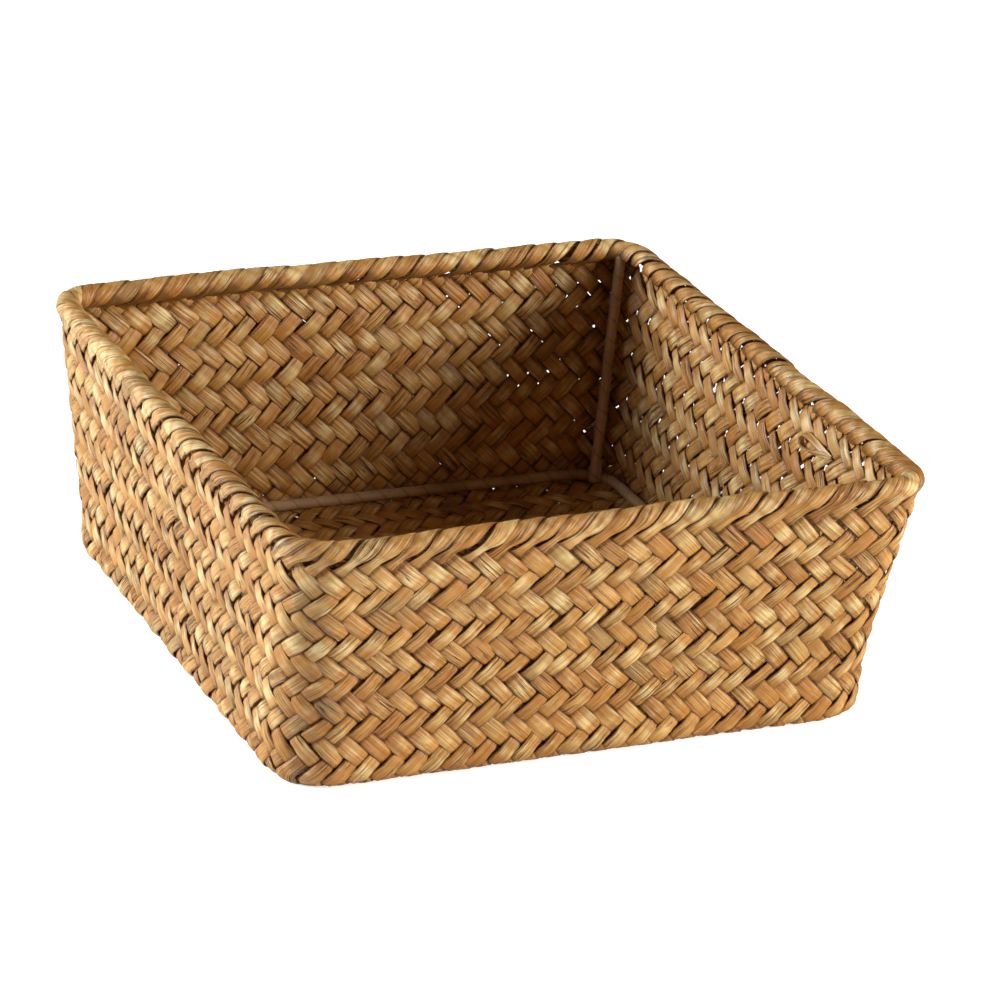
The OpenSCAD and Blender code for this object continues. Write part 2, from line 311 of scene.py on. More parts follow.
class BaseMap:
    """Harmonic map from the lattice square to the unrolled base. Straight lines between the
    corners come first, and each edge's bulge is added as a sine series that fades inwards as
    sinh(n pi (1 - d)) / sinh(n pi), with d the share of the way across."""

    def __init__(self, shape, sizes, terms=40, samples=801):
        self.side = sizes.per_side
        self.shape = shape
        mid = shape.foot_radius - shape.skin / 2
        self.mid_radius = mid
        self.fold_angle = math.acos((shape.foot_radius - sizes.fold_height) / mid)
        edge = shape.foot_radius - mid * self.fold_angle
        self.edge = edge
        t = np.linspace(0, 1, samples)
        self.order = np.arange(1, terms + 1)
        waves = np.sin(np.pi * np.outer(self.order, t))
        self.corners, self.series = [], []
        for side in range(4):
            x, y, _, _ = outline((side + np.clip(t, 1e-9, 1 - 1e-9)) * self.side, edge, 0.0,
                                 shape, self.side)
            line = np.stack([x, y], 1)
            straight = line[0] + (line[-1] - line[0]) * t[:, None]
            self.corners.append(line[0])
            self.series.append(2 * waves @ (line - straight) / len(t))

    def plan(self, x, y):
        """Plan point for lattice point x, y."""
        half = self.side / 2
        a = np.clip((x + half) / self.side, 0, 1)[..., None]
        b = np.clip((y + half) / self.side, 0, 1)[..., None]
        c = self.corners
        point = ((1 - a) * (1 - b) * c[0] + a * (1 - b) * c[1] + a * b * c[2]
                 + (1 - a) * b * c[3])
        for side, (run, away) in enumerate(((a, b), (b, 1 - a), (1 - a, 1 - b), (1 - b, a))):
            n = self.order * np.pi
            fade = (np.exp(-n * away) - np.exp(-n * (2 - away))) / (1 - np.exp(-2 * n))
            point = point + (np.sin(n * run) * fade) @ self.series[side]
        return point

    def place(self, x, y, height):
        """Point on the base, at `height` outwards, which is down. Within the foot radius of the
        edge the sheet rolls up along the foot's arc."""
        plan = self.plan(x, y)
        half_w, half_d, corner = plan_sizes(0.0, self.shape)
        q = np.abs(plan) - (np.array([half_w, half_d]) - corner)
        outside = np.maximum(q, 0)
        reach = np.linalg.norm(outside, axis=-1)
        deep = corner - reach - np.minimum(np.max(q, axis=-1), 0)
        straight = np.where((q[..., :1] > q[..., 1:]), [1.0, 0.0], [0.0, 1.0])
        normal = np.where(reach[..., None] > 1e-9,
                          outside / np.maximum(reach, 1e-9)[..., None], straight)
        normal = normal * np.sign(plan)
        roll = np.clip((self.shape.foot_radius - deep) / self.mid_radius, 0, np.pi / 2)
        curled = self.shape.foot_radius - self.mid_radius * np.sin(roll)
        move = np.where(roll > 0, deep - curled, 0.0) + height * np.sin(roll)
        plan = plan + normal * move[..., None]
        z = np.where(roll > 0, self.shape.foot_radius - self.mid_radius * np.cos(roll),
                     self.shape.skin / 2) - height * np.cos(roll)
        return np.concatenate([plan, z[..., None]], -1)


# Crossing row above which the strips that go round the roll are the outer ones.
LAST_TWILL_ROW = 19
# Least height of a strip's underside above the floor.
STRIP_CLEARANCE = 0.02 * MM
# Rows over which a wrapped strip settles from its level in the weave onto the roll.
SETTLE_ROWS = 0.4


class Weave:
    """Where each strip runs. The strips lie on a square lattice that covers the base corner to
    corner and carries on up the walls. Family 0 keeps x - y = lane, family 1 keeps x + y = lane,
    and each strip runs from rim to rim."""

    def __init__(self, shape, sizes):
        self.shape, self.sizes = shape, sizes
        self.half = sizes.per_side / 2
        self.base = BaseMap(shape, sizes)
        self.rim_gone, self.rim_path, self.rim_normal = rim_profile(shape, sizes)
        rng = np.random.default_rng(sizes.seed)
        self.wave = rng.uniform(0, 2 * np.pi, 8)

    def region(self, family, lane, x, y):
        """Which wall a lattice point of a strip lies on, or the base, and how far up it is. A strip
        meets two walls only, and keeps to each one's lattice even past that wall's corner."""
        first, second = STRIP_WALLS[family, lane > 0]
        past = {FRONT_WALL: -y, RIGHT_WALL: x, BACK_WALL: y, LEFT_WALL: -x}
        wall = np.where(past[first] > past[second], first, second)
        up = np.maximum(past[first], past[second]) - self.half
        return np.where(up > 0, wall, BASE), up

    def lattice(self, family, lane, run):
        """Lattice point of a strip at its run coordinate."""
        if family == 0:
            return (lane + run) / 2, (run - lane) / 2
        return (lane + run) / 2, (lane - run) / 2

    def outside(self, family, lane, x, y):
        """+1 where the family's strip is the outer one at a crossing and -1 where it isn't: a two
        over, two under twill by rows."""
        where, up = self.region(family, lane, x, y)
        phase = self.sizes.phase
        row = np.where(where == BASE, -2 * (y + self.half), 2 * up)
        falls = np.mod(np.rint(row) + phase, 4) < 2
        first_wraps = wraps_roll(0, where)
        first_out = np.where(first_wraps, ~falls, falls)
        at_roll = (where != BASE) & (np.rint(row) > LAST_TWILL_ROW)
        first_out = np.where(at_roll, first_wraps, first_out)
        return np.where(first_out, 1.0, -1.0) * (1.0 if family == 0 else -1.0)

    def sway(self, lap, up):
        """In-and-out wave of a wall, and up-and-down wave of the rim: sums of sines that close
        round the basket."""
        turn = 2 * np.pi * lap / (4 * self.sizes.per_side)
        w = self.wave
        out = (0.5 * np.sin(5 * turn + w[0] + 0.25 * up) + 0.35 * np.sin(11 * turn + w[1])
               + 0.3 * np.sin(17 * turn + w[2] - 0.5 * up)) * smooth(up / 4)
        rim = (0.5 * np.sin(6 * turn + w[3]) + 0.4 * np.sin(13 * turn + w[4])
               + 0.3 * np.sin(23 * turn + w[5])) * smooth((up - 7) / 3)
        return out * self.shape.wall_wave, rim * self.shape.rim_wave

    def place(self, family, lane, x, y, level, relief):
        """Points for lattice points x, y. level is the strip's height in the weave and relief the
        height of its own section, both outwards from the middle of the skin."""
        shape, sizes = self.shape, self.sizes
        where, up = self.region(family, lane, x, y)
        points = np.zeros(x.shape + (3,))
        flat = where == BASE
        if flat.any():
            points[flat] = self.base.place(x[flat], y[flat], (level + relief)[flat])
        wall = ~flat
        if wall.any():
            side, up = where[wall], up[wall]
            x, y, level, relief = x[wall], y[wall], level[wall], relief[wall]
            lap = np.select([side == FRONT_WALL, side == RIGHT_WALL, side == BACK_WALL],
                            [x + self.half, y + 3 * self.half, 5 * self.half - x],
                            7 * self.half - y)
            gone = up * sizes.row_height
            roll = np.clip(self.base.fold_angle + gone / self.base.mid_radius, 0, np.pi / 2)
            inset = shape.foot_radius - self.base.mid_radius * np.sin(roll)
            z = np.where(roll < np.pi / 2,
                         shape.foot_radius - self.base.mid_radius * np.cos(roll),
                         sizes.fold_height + gone)
            n_in, n_z = -np.sin(roll), -np.cos(roll)
            round_rim = wraps_roll(family, side) & (up > sizes.rim_row)
            past = (up - sizes.rim_row) * sizes.row_height
            rim = [np.interp(past, self.rim_gone, column)
                   for column in (*self.rim_path.T, *self.rim_normal.T)]
            inset, z, n_in, n_z = (np.where(round_rim, a, b)
                                   for a, b in zip(rim, (inset, z, n_in, n_z)))
            fade = 1 - smooth((up - sizes.rim_row) / SETTLE_ROWS)
            height = relief + np.where(round_rim, (level - sizes.swing) * fade, level)
            out, lift = self.sway(lap, up)
            inset = inset + n_in * height - out
            z = z + n_z * height + lift
            px, py, _, _ = outline(lap, inset, z, shape, sizes.per_side)
            points[wall] = np.stack([px, py, z], -1)
        points[..., 2] = np.maximum(points[..., 2], STRIP_CLEARANCE)
        return points

    def span(self, family, lane):
        """First and last run coordinate of a strip. It ends under the roll on one wall and goes
        round it on the other."""
        low, high = self.half + self.sizes.end_row, self.half + self.sizes.tuck_row
        size = abs(lane)
        if (lane < 0) == (family == 0):
            return size - 2 * high, 2 * low - size
        return size - 2 * low, 2 * high - size


# Where a strip's section has its upper points, across from edge to edge, and which of its points
# are the crown and the middle of the underside.
SECTION_TOP = np.array([-1, -0.93, -0.74, -0.4, 0, 0.4, 0.74, 0.93, 1])
SECTION_CROWN, SECTION_SOLE = 4, 12


def strip_section():
    """Cross-section of a strip as 16 points round: across from -1 to 1 over the crown and back
    underneath, and height as the superellipse (1 - |q|^2.8)^0.55, signed."""
    q = np.concatenate([SECTION_TOP, SECTION_TOP[-2:0:-1]])
    sign = np.concatenate([np.ones(len(SECTION_TOP)), -np.ones(len(SECTION_TOP) - 2)])
    return q, sign * np.maximum(1 - np.abs(q) ** 2.8, 0) ** 0.55 * 0.5


# A strip's rings within one crossing, as shares of the way to the next.
RING_SHARES = np.array([0.0, 0.28, 0.43, 0.57, 0.72])
# Spread of the floats' heights, and of their tilts as a share of the full tilt.
RISE_SPREAD, LEAN_SPREAD = 0.11 * MM, 0.5
# Depth value at the ends of a float, and the least one of a strip that is tucked in, inside under
# the roll. The material paints shade by depth.
FLOAT_END_DEPTH, UNDER_ROLL_SHADE = 0.35, 0.78
# Width of the strips on the front, right, back and left walls and on the base, and how much
# narrower they get where they leave for the roll.
BREADTH = np.array([1.0, 0.87, 1.03, 1.0, 1.07])
PINCH = np.array([0.14, 0.2, 0.2, 0.38, 0.2])
# How much a wrapped strip widens on the roll, narrows where it tucks in, and thins.
FAN, TUCK, THINNING = 0.06, 0.42, 0.3
# Where a wrapped strip changes, as the row up the wall and the rows that it takes: it thins, begins
# to ride over its neighbour, fans out, lifts off, darkens with painted shade under the roll, tucks
# in and lies flat again.
THINS, SHINGLES, FANS, LIFTS = (10.0, 0.4), (10.2, 0.5), (10.25, 0.4), (10.3, 0.6)
DARKENS, TUCKS, FLATTENS = (11.65, 0.5), (12.0, 0.5), (12.4, 0.5)
# Row where it is narrowest, and the rows that this reaches each way.
PINCH_ROW, PINCH_REACH = 10.15, 0.4
# Mean and spread of how far a strip lifts off the roll.
LIFT_MEAN, LIFT_SPREAD = 0.1 * MM, 0.16 * MM
# How much a strip's width and thickness wander, and the runs over which its width, its thickness
# and its place in the lane do.
WIDTH_WANDER, THICKNESS_WANDER = 0.07, 0.12
WIDTH_RUN, THICKNESS_RUN, STRAY_RUN = 12, 7, 14
# Run over which a strip's end narrows, and its share of the width at the very end.
END_RUN, END_SHARE = 0.5, 0.03


def after(up, change):
    """0 before a change begins, 1 once it is complete, and a smooth step between."""
    row, rows = change
    return smooth((up - row) / rows)


def strip_floats(weave, family, lane, rng):
    """Run coordinate, height, tilt, depth and shade at each ring of a strip. Between two crossings
    the strip dives by a smooth step, and a float rises as the parabola 4s(1 - s). Depth is 0 in a
    float's middle and 1 where the strip dives; the material paints shade by it."""
    sizes = weave.sizes
    first, last = weave.span(family, lane)
    cells = np.arange(math.floor(first) - 1, math.ceil(last) + 1) + 0.5
    run = (cells[:, None] + RING_SHARES).ravel()
    cell = np.repeat(np.arange(len(cells)), len(RING_SHARES))
    share = np.tile(RING_SHARES, len(cells))
    x, y = weave.lattice(family, lane, np.append(cells, cells[-1] + 1))
    out = weave.outside(family, lane, x, y)
    floats = np.concatenate([[0], np.cumsum(out[1:] != out[:-1])])
    rise = rng.normal(0, RISE_SPREAD, floats.max() + 1)[floats]
    lean = rng.normal(0, LEAN_SPREAD, floats.max() + 1)[floats]
    shade = rng.uniform(0, 1, floats.max() + 1)[floats]
    dive = smooth((share - 0.5) / sizes.turn + 0.5)
    height, tilt, shade = (a[cell] + (a[cell + 1] - a[cell]) * dive
                           for a in (out * sizes.swing + rise, lean, shade))
    same = out[cell] == out[cell + 1]
    height += np.where(same, out[cell] * sizes.puff * 4 * share * (1 - share), 0)
    # Depth, by which the material paints shade at a float's ends and where the strip dives.
    deep = np.where(same, FLOAT_END_DEPTH * np.abs(2 * share - 1) ** 2,
                    FLOAT_END_DEPTH + (1 - FLOAT_END_DEPTH) * (1 - np.abs(2 * dive - 1)))
    keep = (run >= first) & (run <= last)
    return [a[keep] for a in (run, height, tilt, deep, shade)]


def strip_width(sizes, lane, run, where, up, wraps, rng):
    """Width of a strip at each ring, as a share of its lane. It wanders along the strip, narrows
    where a wrapped strip leaves the wall for the roll, widens round it and narrows to tuck in."""
    width = sizes.fill * (1 + WIDTH_WANDER * wander(run, rng, WIDTH_RUN))
    width = width * rng.uniform(0.96, 1.04) * (1 + math.copysign(sizes.odds, lane))
    pinch = PINCH[where] * wraps * np.exp(-((up - PINCH_ROW) / PINCH_REACH) ** 2)
    tuck = TUCK * wraps * after(up, TUCKS)
    fan = 1 + FAN * wraps * after(up, FANS)
    return width * fan * (1 - pinch - tuck) * BREADTH[where]


def weave_strip(weave, family, lane):
    """One strip as a grid of points, rings along it by points round its section, with its length
    so far, its depth, by which the material paints shade, and its shade at each ring."""
    sizes = weave.sizes
    rng = np.random.default_rng([sizes.seed, family, lane_number(lane)])
    run, height, tilt, deep, shade = strip_floats(weave, family, lane, rng)
    where, up = weave.region(family, lane, *weave.lattice(family, lane, run))
    wraps = wraps_roll(family, where)
    width = strip_width(sizes, lane, run, where, up, wraps, rng)
    # Painted shade: inside, under the roll, a wrapped strip goes dark by its depth.
    deep = np.maximum(deep, UNDER_ROLL_SHADE * wraps * after(up, DARKENS))
    shingle = wraps * after(up, SHINGLES) * (1 - after(up, FLATTENS))
    ends = np.clip(np.minimum(run - run[0], run[-1] - run) / END_RUN, 0, 1)
    close = np.sqrt(ends * (2 - ends)) * (1 - END_SHARE) + END_SHARE
    stray = sizes.stray * wander(run, rng, STRAY_RUN)
    q, crown = strip_section()
    aside = stray[:, None] + 0.5 * (width * close)[:, None] * q
    x, y = weave.lattice(family, lane + aside, run[:, None])
    thick = sizes.thickness * (1 + THICKNESS_WANDER * wander(run, rng, THICKNESS_RUN)) * close
    thick = thick * (1 - THINNING * wraps * after(up, THINS))
    lift = rng.normal(LIFT_MEAN, LIFT_SPREAD) * wraps * after(up, LIFTS)
    slant = sizes.tilt * tilt * (1 - shingle) + sizes.overlap * shingle
    relief = thick[:, None] * crown + slant[:, None] * q + lift[:, None]
    points = weave.place(family, lane, x, y, np.broadcast_to(height[:, None], x.shape), relief)
    gone = length_along(points[:, [SECTION_CROWN, SECTION_SOLE]].mean(1))
    return points, gone, deep, shade


def grid_faces(rings, around, start):
    """Quads of a tube of `rings` rings with `around` points each, as vertex numbers, and the same
    corners as ring and point counts that run past the seam."""
    i, j = np.meshgrid(np.arange(rings - 1), np.arange(around), indexing="ij")
    corner_ring = np.stack([i, i + 1, i + 1, i], -1).reshape(-1, 4)
    corner_point = np.stack([j, j, j + 1, j + 1], -1).reshape(-1, 4)
    return start + corner_ring * around + corner_point % around, corner_ring, corner_point


# Space left beside each tube's band on the bake map, and at the band's ends.
BAND_GAP, END_GAP = 0.06, 0.004


class MeshParts:
    """Gathers tubes into one mesh with a pattern map in metres, a bake map with one band for each
    tube, and per-vertex values."""

    def __init__(self, bands):
        self.bands, self.made, self.count = bands, 0, 0
        self.points, self.faces, self.pattern, self.bake, self.caps = [], [], [], [], []
        self.values = {}

    def tube(self, points, along, girth, **values):
        """Adds a tube of rings by points round. along is each ring's length so far, girth the
        distance round the section, and each value is one number, one a ring or one a point."""
        rings, around = points.shape[:2]
        faces, ring, point = grid_faces(rings, around, self.count)
        self.points.append(points.reshape(-1, 3))
        self.faces.append(faces)
        self.pattern.append(np.stack([along[ring], girth * point / around], -1))
        low, high = (self.made + BAND_GAP) / self.bands, (self.made + 1 - BAND_GAP) / self.bands
        share = END_GAP + (1 - 2 * END_GAP) * along[ring] / along[-1]
        self.bake.append(np.stack([share, low + (high - low) * point / around], -1))
        self.caps.append(self.count + np.arange(around))
        self.caps.append(self.count + (rings - 1) * around + np.arange(around)[::-1])
        for name, value in values.items():
            value = np.asarray(value, float)
            value = value[:, None] if value.ndim == 1 else value
            self.values.setdefault(name, []).append(
                np.broadcast_to(value, (rings, around)).ravel())
        self.count += rings * around
        self.made += 1
        return self

    def build(self, name, material, slot, nodes, flip=False):
        """Makes the object: a closed, smooth mesh at the origin that rides on the basket. flip
        turns its faces round, for tubes whose points run the other way about their line."""
        quads = np.concatenate(self.faces)
        pattern, bake = np.concatenate(self.pattern), np.concatenate(self.bake)
        if flip:
            quads, pattern, bake = quads[:, ::-1], pattern[:, ::-1], bake[:, ::-1]
        caps = [c[::-1] if flip else c for c in self.caps]
        loops = np.concatenate([quads.ravel(), *caps])
        sizes = np.concatenate([np.full(len(quads), 4), [len(c) for c in caps]]).astype(int)
        starts = np.concatenate([[0], np.cumsum(sizes)[:-1]])
        mesh = bpy.data.meshes.new(name)
        mesh.vertices.add(self.count)
        mesh.loops.add(len(loops))
        mesh.polygons.add(len(sizes))
        mesh.vertices.foreach_set("co", np.concatenate(self.points).astype(np.float32).ravel())
        mesh.loops.foreach_set("vertex_index", loops.astype(np.int32))
        mesh.polygons.foreach_set("loop_start", starts.astype(np.int32))
        mesh.polygons.foreach_set("use_smooth", np.ones(len(sizes), bool))
        mesh.update(calc_edges=True)
        spare = len(loops) - quads.size
        for label, corners in (("Pattern", pattern), ("OFBake", bake)):
            layer = mesh.uv_layers.new(name=label)
            flat = np.concatenate([corners.reshape(-1, 2), np.repeat(
                corners.reshape(-1, 2)[:1], spare, 0)])
            layer.uv.foreach_set("vector", flat.astype(np.float32).ravel())
        for label, parts in self.values.items():
            layer = mesh.attributes.new(label, "FLOAT", "POINT")
            layer.data.foreach_set("value", np.concatenate(parts).astype(np.float32))
        mesh.materials.append(material)
        piece = bpy.data.objects.new(name, mesh)
        bpy.context.scene.collection.objects.link(piece)
        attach(piece, ROOT)
        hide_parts(*nodes)
        return piece


# What a finish group puts out.
FINISH = (("Color", "NodeSocketColor"), ("Roughness", "NodeSocketFloat"),
          ("Height", "NodeSocketFloat"))


class Nodes:
    """Short hand for filling a node tree."""

    def __init__(self, tree):
        self.tree = tree

    def add(self, kind, **settings):
        """A new node with its settings and, under `into`, the values or links of its sockets."""
        into = settings.pop("into", {})
        node = self.tree.nodes.new(kind)
        for key, value in settings.items():
            setattr(node, key, value)
        for key, value in into.items():
            if isinstance(value, bpy.types.NodeSocket):
                self.tree.links.new(value, node.inputs[key])
            else:
                node.inputs[key].default_value = value
        return node

    def math(self, operation, a, b=0.0, clamp=False):
        return self.add("ShaderNodeMath", operation=operation, use_clamp=clamp,
                        into={0: a, 1: b}).outputs[0]

    def times(self, a, b):
        return self.math("MULTIPLY", a, b)

    def plus(self, a, b):
        return self.math("ADD", a, b)

    def minus(self, a, b):
        return self.math("SUBTRACT", a, b)

    def noise(self, vector, detail, rough=0.5):
        return self.add("ShaderNodeTexNoise", into={
            "Vector": vector, "Scale": 1.0, "Detail": detail, "Roughness": rough}).outputs[0]

    def scaled(self, vector, scale):
        return self.add("ShaderNodeVectorMath", operation="MULTIPLY",
                        into={0: vector, 1: scale}).outputs[0]

    def mix(self, factor, a, b):
        return self.add("ShaderNodeMix", data_type="RGBA",
                        into={0: factor, 6: a, 7: b}).outputs[2]

    def read(self, name):
        """A value that the mesh holds."""
        return self.add("ShaderNodeAttribute", attribute_name=name).outputs["Fac"]

    def span(self, value, low, high):
        """0 where the value is at low, 1 where it is at high, and a smooth step between."""
        return self.add("ShaderNodeMapRange", interpolation_type="SMOOTHSTEP", into={
            "Value": value, "From Min": low, "From Max": high}).outputs[0]


def group(name, inputs):
    """A shader node group with named inputs, which puts out a finish: a colour, a roughness and a
    height."""
    tree = bpy.data.node_groups.new(name, "ShaderNodeTree")
    for label, kind, default in inputs:
        socket = tree.interface.new_socket(label, in_out="INPUT", socket_type=kind)
        if default is not None:
            socket.default_value = default
    for label, kind in FINISH:
        tree.interface.new_socket(label, in_out="OUTPUT", socket_type=kind)
    nodes = Nodes(tree)
    return tree, nodes, nodes.add("NodeGroupInput").outputs, nodes.add("NodeGroupOutput")


def put_out(tree, result, *values):
    """Links a group's colour, roughness and height to its outputs."""
    for (label, _), value in zip(FINISH, values):
        tree.links.new(value, result.inputs[label])


LEAF_COLOURS = ("straw", "pale", "honey", "rust", "moss", "bark")
# Noises of a leaf: repeats a metre along it, across it and from strip to strip, then detail and
# roughness.
LEAF_NOISES = {
    "drift": ((28, 60, 1), 3.0, 0.6),
    "patch": ((58, 120, 1.7), 3.0, 0.6),
    "fine": ((60, 2700, 1), 3.0, 0.7),
    "strand": ((18, 760, 1.3), 2.0, 0.5),
    "slit": ((10, 620, 2.1), 2.0, 0.5),
    "hair": ((16, 1500, 4.3), 1.0, 0.5),
    "fray": ((36, 40, 5.1), 2.0, 0.5),
    "fleck": ((160, 900, 1), 3.0, 0.7),
    "moss": ((17, 30, 3.1), 2.0, 0.5),
    "rust": ((42, 260, 2.7), 3.0, 0.65),
}
# Distance between two strips' places in the noises, so that no two look alike.
STRIP_APART = 911.0


def seagrass_group(looks):
    """Flat seagrass leaf: colour that drifts along a strip, long fibres, dark splits, edges darkened
    partly as stain and partly as painted shade between strips, and painted shade where a strip
    dives. Reads the pattern map in metres and the strip's own values."""
    tree, n, given, result = group(
        "Seagrass leaf",
        [("Pattern", "NodeSocketVector", None), ("Strip", "NodeSocketFloat", 0.5),
         ("Depth", "NodeSocketFloat", 0.0), ("Edge", "NodeSocketFloat", 0.0),
         ("Shade", "NodeSocketFloat", 0.5)]
        + [(k.title(), "NodeSocketColor", (*getattr(looks, k), 1)) for k in LEAF_COLOURS])
    split = n.add("ShaderNodeSeparateXYZ", into={0: given["Pattern"]})
    where = n.add("ShaderNodeCombineXYZ", into={
        0: split.outputs[0], 1: split.outputs[1],
        2: n.times(given["Strip"], STRIP_APART)}).outputs[0]
    noise = {name: n.noise(n.scaled(where, scale), detail, rough)
             for name, (scale, detail, rough) in LEAF_NOISES.items()}
    fine, fleck = noise["fine"], noise["fleck"]
    fray = n.span(noise["fray"], 0.42, 0.62)

    # Body colour: straw that turns to honey by strip and by float and, as painted shade, towards a
    # float's ends and where it dives, with moss, pale and rust areas. The pale areas fade out
    # towards the dives, as painted shade.
    own = n.plus(n.times(given["Strip"], 0.24), n.times(given["Shade"], 0.34))
    tone = n.plus(n.times(noise["drift"], 0.85), own)
    # Painted shade: honey by depth, towards a float's ends and where the strip dives.
    slope = n.math("ADD", n.times(n.span(given["Depth"], 0.02, 0.55), 0.55),
                   n.times(n.span(tone, 0.56, 0.96), 0.85), clamp=True)
    base = n.mix(slope, given["Straw"], given["Honey"])
    base = n.mix(n.times(n.span(noise["moss"], 0.55, 0.70), 0.55), base, given["Moss"])
    light = n.span(n.minus(noise["patch"], n.times(given["Shade"], 0.22)), 0.30, 0.58)
    # Painted shade: pale areas fade out as the strip nears a dive.
    light = n.times(light, n.span(given["Depth"], 0.5, 0.0))
    base = n.mix(n.times(light, 0.8), base, given["Pale"])
    base = n.mix(n.times(n.span(noise["rust"], 0.58, 0.76), 0.5), base, given["Rust"])

    # Fibres: dull and pale threads, stronger where the leaf frays, and the ribs between them.
    dull = n.mix(0.5, given["Rust"], given["Honey"])
    weak = n.plus(n.times(fray, 0.75), 0.25)
    base = n.mix(n.times(n.span(fine, 0.52, 0.36), n.times(weak, 0.62)), base, dull)
    base = n.mix(n.times(n.span(fine, 0.56, 0.72), 0.38), base, given["Pale"])
    ribs = n.span(noise["strand"], 0.32, 0.68)
    base = n.mix(n.times(n.span(ribs, 0.45, 0.0), 0.45), base, dull)

    # Splits run where a long noise crosses its middle, with hairlines where the leaf frays.
    line = n.span(n.math("ABSOLUTE", n.minus(noise["slit"], 0.5)), 0.020, 0.003)
    line = n.times(line, n.plus(n.times(fray, 0.7), 0.3))
    thread = n.span(n.math("ABSOLUTE", n.minus(noise["hair"], 0.5)), 0.030, 0.004)
    thread = n.times(n.times(thread, fray), n.span(fleck, 0.40, 0.60))
    line = n.math("MAXIMUM", line, n.times(thread, 0.7))
    base = n.mix(n.times(line, 0.88), base, given["Bark"])

    # Ragged dark edges, partly stain and partly painted shade in the grooves between strips, and
    # painted shade in the crevices where a strip dives.
    stain_and_groove_shade = n.plus(given["Edge"], n.times(n.minus(fleck, 0.5), 0.35))
    stain = n.mix(0.5, given["Rust"], given["Bark"])
    base = n.mix(n.times(n.span(stain_and_groove_shade, 0.78, 1.02), 0.85), base, stain)
    # Painted shade: the crevices where a strip dives go towards bark by its depth.
    base = n.mix(n.times(n.span(given["Depth"], 0.55, 0.97), 0.9), base, given["Bark"])
    height = n.minus(n.plus(n.times(fine, 0.28), n.times(ribs, 0.62)), n.times(line, 0.9))
    put_out(tree, result, base, n.plus(n.times(fine, 0.35), 0.28), height)
    return tree


def new_material(name):
    """A material with an empty tree, its shader and its output joined."""
    material = bpy.data.materials.new(name)
    material.use_nodes = True
    material.node_tree.nodes.clear()
    n = Nodes(material.node_tree)
    shader = n.add("ShaderNodeBsdfPrincipled")
    output = n.add("ShaderNodeOutputMaterial")
    material.node_tree.links.new(shader.outputs[0], output.inputs[0])
    return material, n, shader


def join_finish(n, shader, finish, strength, distance, gloss):
    """Joins a finish group to a material's shader. strength and distance set how its height bumps
    the surface, and gloss is the specular level."""
    bump = n.add("ShaderNodeBump", into={"Height": finish.outputs["Height"],
                                         "Strength": strength, "Distance": distance})
    links = n.tree.links
    links.new(finish.outputs["Color"], shader.inputs["Base Color"])
    links.new(finish.outputs["Roughness"], shader.inputs["Roughness"])
    links.new(bump.outputs[0], shader.inputs["Normal"])
    shader.inputs["Specular IOR Level"].default_value = gloss


def seagrass_material(name, looks, **tints):
    """Seagrass finish from the leaf group, with any of its colours changed."""
    tree = bpy.data.node_groups.get("Seagrass leaf") or seagrass_group(looks)
    material, n, shader = new_material(name)
    leaf = n.add("ShaderNodeGroup", node_tree=tree, into={
        "Pattern": n.add("ShaderNodeUVMap", uv_map="Pattern").outputs[0],
        **{label.title(): n.read(label) for label in ("strip", "depth", "edge", "shade")}})
    for key in LEAF_COLOURS:
        leaf.inputs[key.title()].default_value = (*tints.get(key, getattr(looks, key)), 1)
    join_finish(n, shader, leaf, strength=0.9, distance=0.55 * MM, gloss=0.42)
    return material


def paper_group(looks):
    """Wound paper tape: a dark line along each overlap, creased fibres and scuffs."""
    tree, n, given, result = group(
        "Paper tape",
        [("Vector", "NodeSocketVector", None), ("Winding", "NodeSocketFloat", 0.0),
         ("Paper", "NodeSocketColor", (*looks.paper, 1)),
         ("Shade", "NodeSocketColor", (*looks.paper_dark, 1))])
    crease = n.noise(n.scaled(given["Vector"], (420, 420, 420)), detail=4.0, rough=0.65)
    stain = n.noise(n.scaled(given["Vector"], (60, 60, 60)), detail=3.0)
    overlap = n.span(n.math("FRACT", given["Winding"]), 0.86, 1.0)
    worn = n.mix(0.45, given["Paper"], given["Shade"])
    base = n.mix(n.span(stain, 0.35, 0.68), given["Paper"], worn)
    base = n.mix(n.times(n.span(crease, 0.52, 0.70), 0.35), base, given["Shade"])
    base = n.mix(n.times(overlap, 0.65), base, given["Shade"])
    put_out(tree, result, base, n.plus(n.times(crease, 0.3), 0.55),
            n.minus(crease, n.times(overlap, 0.6)))
    return tree


def paper_material(name, looks, wound):
    """Paper tape finish. wound reads the winding value of a taped piece; otherwise the overlaps
    follow the sum of the place's three coordinates."""
    tree = bpy.data.node_groups.get("Paper tape") or paper_group(looks)
    material, n, shader = new_material(name)
    place = n.add("ShaderNodeTexCoord").outputs["Object"]
    if wound:
        winding = n.read("winding")
    else:
        split = n.add("ShaderNodeSeparateXYZ", into={0: place})
        total = n.plus(n.plus(split.outputs[0], split.outputs[1]), split.outputs[2])
        winding = n.math("DIVIDE", total, looks.tape_pitch)
    paper = n.add("ShaderNodeGroup", node_tree=tree,
                  into={"Vector": place, "Winding": winding})
    join_finish(n, shader, paper, strength=0.5, distance=0.2 * MM, gloss=0.3)
    return material


